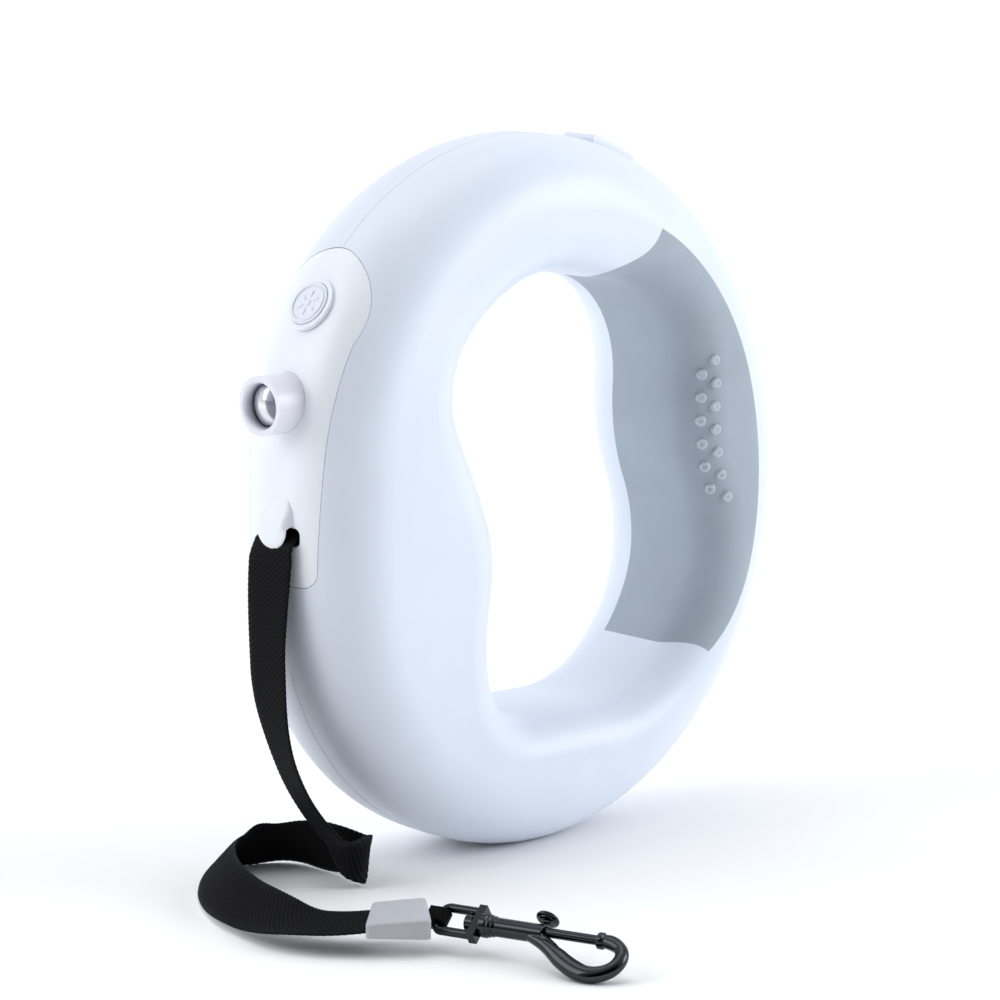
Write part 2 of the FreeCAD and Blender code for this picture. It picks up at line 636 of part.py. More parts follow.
# Tape centre line, heights from the ring centre; it leans on its edge along the ground.
TAPE = ((-73.4, 0, -6.2), (-76.2, -0.4, -30), (-72, -2, -54), (-63, -7, -71),
        (-55.2, -12, LYING + 0.3), (-51.5, -9.5, LYING), (-53, 1, LYING), (-58, 18, LYING),
        (-73, 19, LYING), (-88.5, 2.5, LYING - 0.4), (-95.5, -16, LYING - 1),
        tuple(SLEEVE_START - SLEEVE_RUN * 10), tuple(SLEEVE_START))


def tangent_wire(points, label):
    """Straight runs joined by tangent arcs, the radius from the shorter run at each corner."""
    spots = [Vector(*spot) for spot in points]
    edges = []
    last = spots[0]
    radii = []
    for before, corner, after in zip(spots, spots[1:], spots[2:]):
        back = before - corner
        ahead = after - corner
        shorter = min(back.Length, ahead.Length)
        back.normalize()
        ahead.normalize()
        turn = math.pi - back.getAngle(ahead)
        trim = 0.45 * shorter
        radius = trim / math.tan(turn / 2)
        radii.append(round(radius, 1))
        begin = corner + back * trim
        end = corner + ahead * trim
        toward = (back + ahead)
        toward.normalize()
        middle = corner + toward * (radius / math.cos(turn / 2) - radius)
        edges.append(Part.LineSegment(last, begin).toShape())
        edges.append(Part.Arc(begin, middle, end).toShape())
        last = end
    edges.append(Part.LineSegment(last, spots[-1]).toShape())
    print(label, "bend radii", radii, "length", round(sum(edge.Length for edge in edges), 1))
    return Part.Wire(edges)


route = tangent_wire(TAPE, "tape")
TUBE = math.sqrt(dim("tape_width") * dim("tape_thickness") / math.pi)
lead_in = Vector(*TAPE[1]) - Vector(*TAPE[0])
ring_wire = Part.Wire(Part.makeCircle(TUBE, Vector(*TAPE[0]), lead_in))
tube = route.makePipeShell([ring_wire], True, True)
print("tube volume", round(tube.Volume, 1), "expected", round(math.pi * TUBE ** 2 * route.Length, 1))
tape_tube = solid(tube)

# ---------------------------------------------------------------- snap hook and end sleeve

def hook_piece(shape, base=HOOK_BASE, turn=HOOK_TURN):
    """Set a shape drawn along X, with its opening side at +Y, in the lying hook's place."""
    obj = doc.addObject("Part::Feature", fresh("HookShape"))
    obj.Shape = shape
    obj.Placement = Placement(base, turn)
    obj.setExpression("Placement.Base.z", f"Dims.ring_height + {base.z}")
    return obj


def along_x(radius, start, length, side=0.0):
    return Part.makeCylinder(radius, length, Vector(start, side, 0), Vector(1, 0, 0))


def wire_sweep(points, radius):
    """Round bar through points by a smooth curve."""
    curve = Part.BSplineCurve()
    curve.interpolate([Vector(x, y, 0) for x, y in points])
    path = Part.Wire(curve.toShape())
    start = path.Edges[0].tangentAt(path.Edges[0].FirstParameter)
    ring = Part.Wire(Part.makeCircle(radius, Vector(points[0][0], points[0][1], 0), start))
    return path.makePipeShell([ring], True, True)


CORNER = 1.3
SIDE_END = BOW_END + CORNER
bow_spots = (Vector(1.5, BOW_HALF, 0), Vector(SIDE_END, BOW_HALF, 0),
             Vector(BOW_END, BOW_HALF - CORNER, 0), Vector(BOW_END, CORNER - BOW_HALF, 0),
             Vector(SIDE_END, -BOW_HALF, 0), Vector(1.5, -BOW_HALF, 0))
bulge = CORNER * (1 - math.sqrt(0.5))
bow_path = Part.Wire([
    Part.makeLine(bow_spots[0], bow_spots[1]),
    Part.Arc(bow_spots[1], Vector(BOW_END + bulge, BOW_HALF - bulge, 0), bow_spots[2]).toShape(),
    Part.makeLine(bow_spots[2], bow_spots[3]),
    Part.Arc(bow_spots[3], Vector(BOW_END + bulge, bulge - BOW_HALF, 0), bow_spots[4]).toShape(),
    Part.makeLine(bow_spots[4], bow_spots[5])])
bow_ring = Part.Wire(Part.makeCircle(BOW_WIRE, bow_spots[0], Vector(-1, 0, 0)))
bow = bow_path.makePipeShell([bow_ring], True, True)
bow_plate = Part.makeBox(1.8, 2 * BOW_HALF + 2 * BOW_WIRE, 3.0,
                         Vector(0.9, -BOW_HALF - BOW_WIRE, -1.5))
bow_bore = along_x(1.15, -1, 5)
node("swivel_bow", hook_piece(bow.fuse(bow_plate).cut(bow_bore)))

shaft_r = dim("shaft_radius")
bolt_r = dim("bolt_radius")
BOLT_SIDE = 0.6
swivel = along_x(1.7, -0.9, 1.7).fuse(along_x(1.1, 0.5, 3))
node("swivel_rivet", hook_piece(swivel))
flange = along_x(2.7, 2.8, 1.6)
shaft = along_x(shaft_r, 4.2, 13.4)
hook_bar = wire_sweep(((15.0, -0.6), (20.5, -3.2), (26.5, -7.0), (31.5, -8.3), (35.6, -6.4),
                       (36.6, -2.6), (34.2, 0.2), (31.0, BOLT_SIDE)), 1.4)
hook = flange.fuse([shaft, hook_bar]).cut(along_x(1.1, 2, 1.5))
bolt_bore = along_x(bolt_r + 0.05, 6.0, 25.2 - 6.0 - 6.0, BOLT_SIDE)
knob_slot = Part.makeBox(dim("bolt_travel") + 2.6, 4, 1.3,
                         Vector(17.3 - dim("bolt_travel") - 2.2, BOLT_SIDE, -0.65))
hook = hook.cut(bolt_bore.fuse(along_x(bolt_r + 0.05, 13, 18.0, BOLT_SIDE)).fuse(knob_slot))
node("hook_body", hook_piece(hook))
bolt_start = 16.0
bolt = along_x(bolt_r, bolt_start, 30.4 - bolt_start, BOLT_SIDE)
stem = Part.makeBox(1.6, 2.6, 1.1, Vector(16.0, BOLT_SIDE, -0.55))
knob = Part.makeCylinder(1.9, 1.6, Vector(16.6, 2.6 + BOLT_SIDE, 0), Vector(0, 1, 0))
knob = knob.makeFillet(0.5, knob.Edges[:1])
node("slide_bolt", hook_piece(bolt.fuse([stem, knob])))
COIL_TURN = HOOK_TURN.multiply(Rotation(Vector(0, 1, 0), 90))
COIL_SPOT = HOOK_BASE + HOOK_TURN.multVec(Vector(6.3, BOLT_SIDE, 0))
node("bolt_spring", hook_piece(coil_spring(0.85, 0.16, 0.5, 3.0, Vector()), COIL_SPOT, COIL_TURN))

sleeve_x = dim("sleeve_length")
sleeve = Part.makeBox(sleeve_x, dim("sleeve_width"), dim("sleeve_thickness"),
                      Vector(-sleeve_x, -dim("sleeve_width") / 2, -dim("sleeve_thickness") / 2))
long_edges = [edge for edge in sleeve.Edges if edge.BoundBox.XLength > 1]
sleeve = sleeve.makeChamfer(1.0, long_edges)
end_sleeve = node("end_sleeve", hook_piece(sleeve, SLEEVE_END, SLEEVE_TURN))
node("leash_tape", cut(tape_tube, end_sleeve))
LOOP_HALF = 1.7
LOOP_OUT = 1.9
LOOP_IN = BOW_WIRE + 0.05
LOOP_BACK = 2.6
tape_loop = Part.makeCylinder(LOOP_OUT, 2 * LOOP_HALF, Vector(0, -LOOP_HALF, 0), Vector(0, 1, 0))
tape_loop = tape_loop.fuse(Part.makeBox(LOOP_BACK, 2 * LOOP_HALF, 2 * LOOP_OUT,
                                        Vector(-LOOP_BACK, -LOOP_HALF, -LOOP_OUT)))
eye = Part.makeCylinder(LOOP_IN, 20, Vector(0, -10, 0), Vector(0, 1, 0))
node("tape_end_loop", cut(hook_piece(tape_loop.cut(eye), BOW_BAR, HOOK_TURN), end_sleeve))

# ---------------------------------------------------------------- check and export
doc.recompute()
faults = [obj.Label for obj in doc.Objects if "Invalid" in obj.State or "Error" in obj.State]
for name, obj in NODES.items():
    shape = obj.Shape
    if shape.isNull() or not shape.isValid() or not shape.Solids:
        faults.append(name)
if faults:
    raise RuntimeError("failed: " + ", ".join(faults))
for name, obj in NODES.items():
    shape = obj.Shape
    shape.exportStep(f"parts/{name}.step")
    low = shape.optimalBoundingBox(False, False)
    print(f"{name:16s} solids {len(shape.Solids)} volume {shape.Volume:9.1f} "
          f"x {low.XMin:.1f}..{low.XMax:.1f} y {low.YMin:.1f}..{low.YMax:.1f} "
          f"z {low.ZMin:.1f}..{low.ZMax:.1f}")
print(len(NODES), "nodes")
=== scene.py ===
import json
import math

import bpy
from mathutils import Matrix, Vector
from mathutils.bvhtree import BVHTree


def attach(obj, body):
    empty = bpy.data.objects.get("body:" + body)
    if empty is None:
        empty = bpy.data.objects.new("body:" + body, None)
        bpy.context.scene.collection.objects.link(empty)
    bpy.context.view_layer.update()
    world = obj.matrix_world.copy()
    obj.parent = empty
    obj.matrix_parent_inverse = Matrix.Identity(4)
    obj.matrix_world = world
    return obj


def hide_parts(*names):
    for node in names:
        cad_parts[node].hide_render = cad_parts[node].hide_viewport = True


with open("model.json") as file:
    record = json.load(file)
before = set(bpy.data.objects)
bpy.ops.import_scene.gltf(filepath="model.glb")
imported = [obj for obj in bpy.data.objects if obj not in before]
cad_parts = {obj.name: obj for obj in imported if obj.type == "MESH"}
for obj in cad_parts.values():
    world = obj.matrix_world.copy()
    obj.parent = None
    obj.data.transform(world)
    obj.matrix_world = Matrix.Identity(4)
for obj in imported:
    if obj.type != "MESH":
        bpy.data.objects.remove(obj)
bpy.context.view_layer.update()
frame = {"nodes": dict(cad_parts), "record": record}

# Retractable leash around its CAD frame.  Lengths in metres, Z up, origin under the flat foot.
MM = 0.001
RING_HEIGHT = 81.7 * MM
TAPE_WIDTH = 13.0 * MM
TAPE_THICK = 1.2 * MM

# ------------------------------------------------------------------ camera
CAMERA_AZIMUTH = math.radians(-43.92)
CAMERA_ELEVATION = math.radians(10.56)
CAMERA_DISTANCE = 0.900
CAMERA_LENS = 139.9
CAMERA_SHIFT = (-0.0116, -0.0110)


def make_camera():
    back = Vector((math.sin(CAMERA_AZIMUTH) * math.cos(CAMERA_ELEVATION),
                   -math.cos(CAMERA_AZIMUTH) * math.cos(CAMERA_ELEVATION),
                   math.sin(CAMERA_ELEVATION)))
    data = bpy.data.cameras.new("camera")
    camera = bpy.data.objects.new("camera", data)
    bpy.context.scene.collection.objects.link(camera)
    camera.location = Vector((0, 0, RING_HEIGHT)) + back * CAMERA_DISTANCE
    camera.rotation_euler = (-back).to_track_quat("-Z", "Y").to_euler()
    data.lens = CAMERA_LENS
    data.sensor_width = 36.0
    data.shift_x, data.shift_y = CAMERA_SHIFT
    data.clip_start = 0.01
    bpy.context.scene.camera = camera


make_camera()


# ------------------------------------------------------------------ material helpers
def new_material(name, color, roughness, metallic=0.0):
    material = bpy.data.materials.new(name)
    material.use_nodes = True
    shader = material.node_tree.nodes["Principled BSDF"]
    shader.inputs["Base Color"].default_value = (*color, 1.0)
    shader.inputs["Roughness"].default_value = roughness
    shader.inputs["Metallic"].default_value = metallic
    return material, shader


def link(material, source, target):
    material.node_tree.links.new(source, target)


def add_node(material, kind, **inputs):
    node = material.node_tree.nodes.new(kind)
    for name, value in inputs.items():
        node.inputs[name.replace("_", " ")].default_value = value
    return node


def coordinates(material, kind="Object"):
    return add_node(material, "ShaderNodeTexCoord").outputs[kind]


def noise(material, scale, detail=3.0, roughness=0.5, kind="Object"):
    node = add_node(material, "ShaderNodeTexNoise", Scale=scale, Detail=detail, Roughness=roughness)
    link(material, coordinates(material, kind), node.inputs["Vector"])
    return node.outputs["Fac"]


def ramp(material, source, stops):
    """Colour ramp from (place, colour) stops."""
    node = add_node(material, "ShaderNodeValToRGB")
    elements = node.color_ramp.elements
    while len(elements) < len(stops):
        elements.new(0.5)
    for element, (place, color) in zip(elements, stops):
        element.position = place
        element.color = (*color, 1.0)
    link(material, source, node.inputs["Fac"])
    return node.outputs["Color"]


def value_range(material, source, low, high):
    node = add_node(material, "ShaderNodeMapRange", To_Min=low, To_Max=high)
    link(material, source, node.inputs["Value"])
    return node.outputs["Result"]


def bump(material, shader, source, strength, distance):
    node = add_node(material, "ShaderNodeBump", Strength=strength, Distance=distance)
    link(material, source, node.inputs["Height"])
    link(material, node.outputs["Normal"], shader.inputs["Normal"])
    return node


def shade(color, factor):
    return tuple(min(1.0, part * factor) for part in color)


def moulded_plastic(name, color, roughness, grain=2600.0, coat=0.0, depth=0.02 * MM):
    """Moulded plastic: faint cloudy tone, fine spark-eroded grain and handling marks."""
    material, shader = new_material(name, color, roughness)
    cloud = noise(material, 22.0, 4.0)
    tone = ramp(material, cloud, ((0.30, shade(color, 0.965)), (0.70, shade(color, 1.03))))
    link(material, tone, shader.inputs["Base Color"])
    marks = noise(material, 160.0, 6.0, 0.65)
    link(material, value_range(material, marks, roughness - 0.06, roughness + 0.08),
         shader.inputs["Roughness"])
    bump(material, shader, noise(material, grain, 2.0), 0.18, depth)
    shader.inputs["Coat Weight"].default_value = coat
    shader.inputs["Coat Roughness"].default_value = 0.18
    return material


def soft_rubber(name, color, roughness=0.62):
    """Soft-touch elastomer: velvety grain with a little sheen."""
    material, shader = new_material(name, color, roughness)
    cloud = noise(material, 60.0, 5.0, 0.6)
    tone = ramp(material, cloud, ((0.25, shade(color, 0.93)), (0.75, shade(color, 1.06))))
    link(material, tone, shader.inputs["Base Color"])
    bump(material, shader, noise(material, 3800.0, 3.0, 0.7), 0.35, 0.03 * MM)
    shader.inputs["Sheen Weight"].default_value = 0.25
    shader.inputs["Sheen Roughness"].default_value = 0.4
    return material


def plated_metal(name, color, roughness, scratch=0.25):
    """Plated metal with fine scratches and patches of duller plate."""
    material, shader = new_material(name, color, roughness, 1.0)
    dull = noise(material, 240.0, 5.0, 0.6)
    link(material, value_range(material, dull, roughness * 0.6, roughness * 1.7),
         shader.inputs["Roughness"])
    wear = ramp(material, noise(material, 90.0, 4.0), ((0.35, color), (0.75, shade(color, 1.35))))
    link(material, wear, shader.inputs["Base Color"])
    bump(material, shader, noise(material, 1400.0, 2.0), scratch, 0.01 * MM)
    return material


def woven_fabric(name, color):
    """Black twill webbing; the ribs are in the mesh, the fibres are here, and painted shade darkens the rib
    valleys while painted highlight lightens the rib crests.
    """
    material, shader = new_material(name, color, 0.55)
    shader.inputs["Specular IOR Level"].default_value = 0.06
    strand = noise(material, 5200.0, 4.0, 0.7)
    fibre = ramp(material, strand, ((0.30, (0.5, 0.5, 0.5)), (0.75, (1.6, 1.6, 1.6))))
    # Painted shade and highlight: the colour is darkened in the rib valleys and lightened on the rib crests,
    # keyed to the rib height stored on the mesh.
    rib = add_node(material, "ShaderNodeAttribute")
    rib.attribute_name = "rib"
    tone = ramp(material, rib.outputs["Fac"], ((0.25, shade(color, 0.5)), (0.95, shade(color, 4.5))))
    mix = add_node(material, "ShaderNodeMix")
    mix.data_type = "RGBA"
    mix.blend_type = "MULTIPLY"
    mix.inputs["Factor"].default_value = 1.0
    link(material, tone, mix.inputs[6])
    link(material, fibre, mix.inputs[7])
    link(material, mix.outputs[2], shader.inputs["Base Color"])
    bump(material, shader, strand, 0.6, 0.05 * MM)
    return material


def clear_lens(name):
    material, shader = new_material(name, (0.34, 0.35, 0.45), 0.04)
    shader.inputs["Transmission Weight"].default_value = 0.60
    shader.inputs["IOR"].default_value = 1.46
    shader.inputs["Coat Weight"].default_value = 0.4
    swirl = noise(material, 300.0, 2.0)
    bump(material, shader, swirl, 0.05, 0.02 * MM)
    return material


MATERIALS = {
    "shell_white": moulded_plastic("shell_white", (0.76, 0.82, 0.92), 0.40, coat=0.12),
    "panel_white": moulded_plastic("panel_white", (0.86, 0.90, 0.96), 0.38, coat=0.12),
    "grip_grey": soft_rubber("grip_grey", (0.36, 0.42, 0.48)),
    # lighter copy of grip_grey: painted highlight on the raised nub caps
    "nub_highlight_grey": soft_rubber("nub_highlight_grey", (0.52, 0.58, 0.64)),
    "seam_grey": moulded_plastic("seam_grey", (0.68, 0.73, 0.83), 0.5),
    "torch_plastic": moulded_plastic("torch_plastic", (0.80, 0.80, 0.88), 0.30, coat=0.3),
    "lens_clear": clear_lens("lens_clear"),
    "button_white": moulded_plastic("button_white", (0.78, 0.83, 0.92), 0.36, coat=0.15),
    "inner_plastic": moulded_plastic("inner_plastic", (0.20, 0.21, 0.23), 0.5),
    "board_green": moulded_plastic("board_green", (0.03, 0.16, 0.07), 0.45),
    "led_white": moulded_plastic("led_white", (0.90, 0.86, 0.60), 0.2),
    "reflector_metal": plated_metal("reflector_metal", (0.34, 0.34, 0.42), 0.12),
    "steel": plated_metal("steel", (0.55, 0.55, 0.57), 0.25),
    "spring_steel": plated_metal("spring_steel", (0.35, 0.35, 0.37), 0.30),
    "hook_metal": plated_metal("hook_metal", (0.042, 0.042, 0.047), 0.06, 0.06),
    "tape_black": woven_fabric("tape_black", (0.0032, 0.0032, 0.0036)),
    "sleeve_grey": moulded_plastic("sleeve_grey", (0.48, 0.49, 0.52), 0.42, grain=1800.0),
}


def dress_cad_nodes():
    """Each carried-over node gets its slot's procedural material."""
    for part in frame["record"]["subparts"]:
        mesh = frame["nodes"][part["node"]].data
        mesh.materials.clear()
        mesh.materials.append(MATERIALS[part["material_slot"]])


# ------------------------------------------------------------------ mesh helpers
def mesh_object(name, vertices, faces, slot, smooth=True, look=None):
    mesh = bpy.data.meshes.new(name)
    mesh.from_pydata([tuple(v) for v in vertices], [], faces)
    mesh.validate()
    for polygon in mesh.polygons:
        polygon.use_smooth = smooth
    mesh.materials.append(MATERIALS[look or slot])
    piece = bpy.data.objects.new(name, mesh)
    bpy.context.scene.collection.objects.link(piece)
    return piece


def apply_modifiers(piece):
    graph = bpy.context.evaluated_depsgraph_get()
    mesh = bpy.data.meshes.new_from_object(piece.evaluated_get(graph))
    piece.modifiers.clear()
    piece.data = mesh


def nurbs_points(route, steps):
    """Points along the smooth NURBS line that has the route as its control points."""
    curve = bpy.data.curves.new("line", "CURVE")
    curve.dimensions = "3D"
    spline = curve.splines.new("NURBS")
    spline.points.add(len(route) - 1)
    for point, spot in zip(spline.points, route):
        point.co = (*spot, 1.0)
    spline.order_u = 3
    spline.use_endpoint_u = True
    spline.resolution_u = steps
    holder = bpy.data.objects.new("line", curve)
    mesh = bpy.data.meshes.new_from_object(holder)
    points = [vertex.co.copy() for vertex in mesh.vertices]
    bpy.data.objects.remove(holder)
    bpy.data.meshes.remove(mesh)
    return points


def even_steps(points, step):
    """The polyline's points spaced evenly along it."""
    lengths = [0.0]
    for a, b in zip(points, points[1:]):
        lengths.append(lengths[-1] + (b - a).length)
    count = max(2, round(lengths[-1] / step))
    spots = []
    index = 0
    for number in range(count + 1):
        target = lengths[-1] * number / count
        while index < len(points) - 2 and lengths[index + 1] < target:
            index += 1
        part = (target - lengths[index]) / max(lengths[index + 1] - lengths[index], 1e-12)
        spots.append(points[index].lerp(points[index + 1], min(part, 1.0)))
    return spots


# ------------------------------------------------------------------ leash tape
# Route in millimetres from the foot: x, y, z, then the way the tape's left edge points.
TAPE = (
    ((-73.4, 0.0, 75.5), (-0.10, 0.99, 0.0)),
    ((-76.2, -0.4, 51.7), (0.06, 0.99, 0.0)),
    ((-72.0, -2.0, 27.7), (0.28, 0.96, 0.0)),
    ((-63.0, -7.0, 10.9), (0.38, 0.90, -0.25)),
    ((-55.6, -12.0, 5.8), (-0.08, -0.02, -1.00)),
    ((-53.2, -7.4, 5.6), (-0.10, 0.40, -0.91)),
    ((-54.4, 1.0, 6.5), (0.10, 0.34, -0.93)),
    ((-58.6, 17.4, 5.5), (0.50, 0.26, -0.82)),
    ((-73.0, 19.0, 5.3), (-0.20, 0.66, -0.72)),
    ((-88.5, 2.5, 5.2), (-0.60, 0.30, -0.72)),
    ((-95.5, -16.0, 4.9), (-0.78, -0.10, -0.52)),
    ((-95.4, -39.4, 4.9), (-0.80, -0.58, -0.12)),
    ((-84.7, -47.7, 6.25), (-0.61, -0.78, -0.07)),
)
TAPE_STEP = 0.30 * MM
TAPE_LANES = 26
RIB_PITCH = 1.25 * MM
RIB_HEIGHT = 0.36 * MM
RIB_SLANT = 0.85
FOLD_SPOT = Vector((-53.6, -7.4, 5.0)) * MM
FOLD_CURL = 0.20
FOLD_REACH = 7.0 * MM


def tape_frames(stretch):
    """Centre points of a stretch of tape with its across and thickness directions."""
    route = [Vector(spot) * MM for spot, _ in stretch]
    line = even_steps(nurbs_points(route, 24), TAPE_STEP)
    stations = [min(range(len(line)), key=lambda i: (line[i] - spot).length) for spot in route]
    stations[0] = 0
    stations[-1] = len(line) - 1
    frames = []
    section = 0
    for index, spot in enumerate(line):
        while section < len(stations) - 2 and stations[section + 1] < index:
            section += 1
        begin, end = stations[section], stations[section + 1]
        part = (index - begin) / max(end - begin, 1)
        part = part * part * (3 - 2 * part)
        begin_way = Vector(stretch[section][1]).normalized()
        across = begin_way.lerp(Vector(stretch[section + 1][1]).normalized(), part)
        run = (line[min(index + 1, len(line) - 1)] - line[max(index - 1, 0)]).normalized()
        across -= run * across.dot(run)
        across.normalize()
        frames.append((spot, across, run.cross(across)))
    return frames


def rib_height(along, across):
    """Rounded diagonal twill rib, along and across the tape in metres."""
    phase = (along + RIB_SLANT * across) / RIB_PITCH
    wave = 0.5 + 0.5 * math.cos(2 * math.pi * phase)
    return RIB_HEIGHT * (wave ** 0.7 - 0.5)


def tape_ribbon(name, stretch, node):
    """Twill tape along a stretch, standing for a CAD node; also gives its centre line."""
    frames = tape_frames(stretch)
    vertices = []
    ribs = []
    loop = 2 * (TAPE_LANES + 1)
    for index, (spot, across, out) in enumerate(frames):
        along = index * TAPE_STEP
        scallop = 0.06 * MM * math.cos(2 * math.pi * along / RIB_PITCH)
        curl = 1 - FOLD_CURL * math.exp(-((spot - FOLD_SPOT).length / FOLD_REACH) ** 2)
        for side in (1, -1):
            lanes = range(TAPE_LANES + 1) if side > 0 else range(TAPE_LANES, -1, -1)
            for lane in lanes:
                place = 2 * lane / TAPE_LANES - 1
                reach = place * curl * (TAPE_WIDTH / 2 - 0.15 * MM + scallop * abs(place) ** 8)
                edge = 1 - abs(place) ** 10 * 0.72
                height = (TAPE_THICK / 2 - RIB_HEIGHT / 2) * edge
                rib = rib_height(along, side * reach)
                height += rib * (1 - abs(place) ** 6)
                # rib height kept on the mesh; the tape material paints shade in the rib valleys and
                # highlights on the rib crests from it
                ribs.append(rib / RIB_HEIGHT + 0.5)
                vertices.append(spot + across * reach + out * (side * height))
    faces = []
    for row in range(len(frames) - 1):
        for lane in range(loop):
            a = row * loop + lane
            b = row * loop + (lane + 1) % loop
            faces.append((a, b, b + loop, a + loop))
    faces.append(tuple(range(loop - 1, -1, -1)))
    last = (len(frames) - 1) * loop
    faces.append(tuple(range(last, last + loop)))
    piece = mesh_object(name, vertices, faces, "tape_black")
    piece.data.attributes.new("rib", "FLOAT", "POINT").data.foreach_set("value", ribs)
    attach(piece, "housing")
    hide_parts(node)
    return piece, [spot for spot, _, _ in frames]


ribbon, ribbon_path = tape_ribbon("leash_ribbon", TAPE, "leash_tape")

dress_cad_nodes()

# The run inside the housing, from the winding under the guide pin and out of the slot.
INNER_TAPE = (
    ((-51.0, 0.0, 87.0), (0.0, 1.0, 0.0)),
    ((-61.0, 0.0, 83.7), (0.0, 1.0, 0.0)),
    ((-70.3, 0.0, 80.7), (0.0, 1.0, 0.0)),
    ((-72.9, 0.0, 79.0), (0.0, 1.0, 0.0)),
    ((-73.48, 0.0, 74.8), (-0.10, 0.99, 0.0)),
)
tape_ribbon("inner_ribbon", INNER_TAPE, "inner_tape")


# ------------------------------------------------------------------ surfaces of the CAD nodes
def node_tree(node):
    """Search tree of a node's surface, in metres."""
    mesh = frame["nodes"][node].data
    return BVHTree.FromPolygons([v.co.copy() for v in mesh.vertices],
                                [tuple(p.vertices) for p in mesh.polygons])


def closed_lathe(profile, origin, axis_turn, steps=72):
    """Vertices and faces of a closed profile of (along, radius) points turned round an axis."""
    vertices = []
    for step in range(steps):
        angle = 2 * math.pi * step / steps
        for along, radius in profile:
            spot = Vector((radius * math.cos(angle), radius * math.sin(angle), along)) * MM
            vertices.append(origin + axis_turn @ spot)
    count = len(profile)
    faces = []
    for step in range(steps):
        for index in range(count):
            a = step * count + index
            b = step * count + (index + 1) % count
            c = ((step + 1) % steps) * count + (index + 1) % count
            d = ((step + 1) % steps) * count + index
            faces.append((a, d, c, b))
    return vertices, faces


def capped_lathe(profile, origin, axis_turn, steps=72):
    """As closed_lathe, for a profile that starts and ends on the axis."""
    start, end = profile[0], profile[-1]
    inner = profile[1:-1]
    vertices = [origin + axis_turn @ Vector((0, 0, start[0] * MM)),
                origin + axis_turn @ Vector((0, 0, end[0] * MM))]
    count = len(inner)
    faces = []
    for step in range(steps):
        angle = 2 * math.pi * step / steps
        for along, radius in inner:
            spot = Vector((radius * math.cos(angle), radius * math.sin(angle), along)) * MM
            vertices.append(origin + axis_turn @ spot)
    for step in range(steps):
        here = 2 + step * count
        after = 2 + ((step + 1) % steps) * count
        faces.append((0, after, here))
        faces.append((1, here + count - 1, after + count - 1))
        for index in range(count - 1):
            faces.append((here + index, after + index, after + index + 1, here + index + 1))
    return vertices, faces


def lathe_piece(name, profile, origin, direction, slot, body, closed=True, look=None):
    turn = Vector(direction).to_track_quat("Z", "Y").to_matrix()
    build = closed_lathe if closed else capped_lathe
    vertices, faces = build(profile, Vector(origin), turn)
    piece = mesh_object(name, vertices, faces, slot, look=look)
    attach(piece, body)
    return piece


def arc_profile(along, radius, size, start, end, steps=8):
    """Rounded corner of a lathe profile, angles in degrees."""
    spots = []
    for step in range(steps + 1):
        angle = math.radians(start + (end - start) * step / steps)
        spots.append((along + size * math.sin(angle), radius + size * math.cos(angle)))
    return spots


# ------------------------------------------------------------------ torch
TORCH_SPOT = Vector((-76.0 * MM, 0.0, RING_HEIGHT + 28.0 * MM))
FORWARD = (-1.0, 0.0, 0.0)


def torch_details():
    """Rounded bezel round the barrel's mouth and a domed lens behind it."""
    profile = [(-2.0, 6.5)] + arc_profile(-0.60, 6.02, 0.60, 0, 90, 6)
    profile += arc_profile(-0.85, 5.85, 0.82, 90, 180, 6) + [(-2.0, 4.75)]
    lathe_piece("torch_bezel", profile, TORCH_SPOT, FORWARD, "torch_plastic", "housing")
    dome = [(-0.9 - 1.5 * (part / 8) ** 2, 4.7 * part / 8) for part in range(9)]
    dome += [(-2.75, 4.7), (-2.75, 0.0)]
    lens = lathe_piece("lens_dome", dome, TORCH_SPOT, FORWARD, "lens_clear", "housing", False)
    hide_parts("torch_lens")
    led = []
    for part in range(9):
        angle = math.radians(90 * part / 8)
        led.append((-7.2 + 1.3 * math.cos(angle), 1.7 * math.sin(angle)))
    led += [(-9.0, 1.7), (-9.0, 0.0)]
    lathe_piece("led_dome", led, TORCH_SPOT, FORWARD, "led_white", "housing", False)


torch_details()

# ------------------------------------------------------------------ light button
BUTTON_HEIGHT = 49.0 * MM
HALF_WIDTH = 76.0 * MM
HALF_HEIGHT = 82.5 * MM


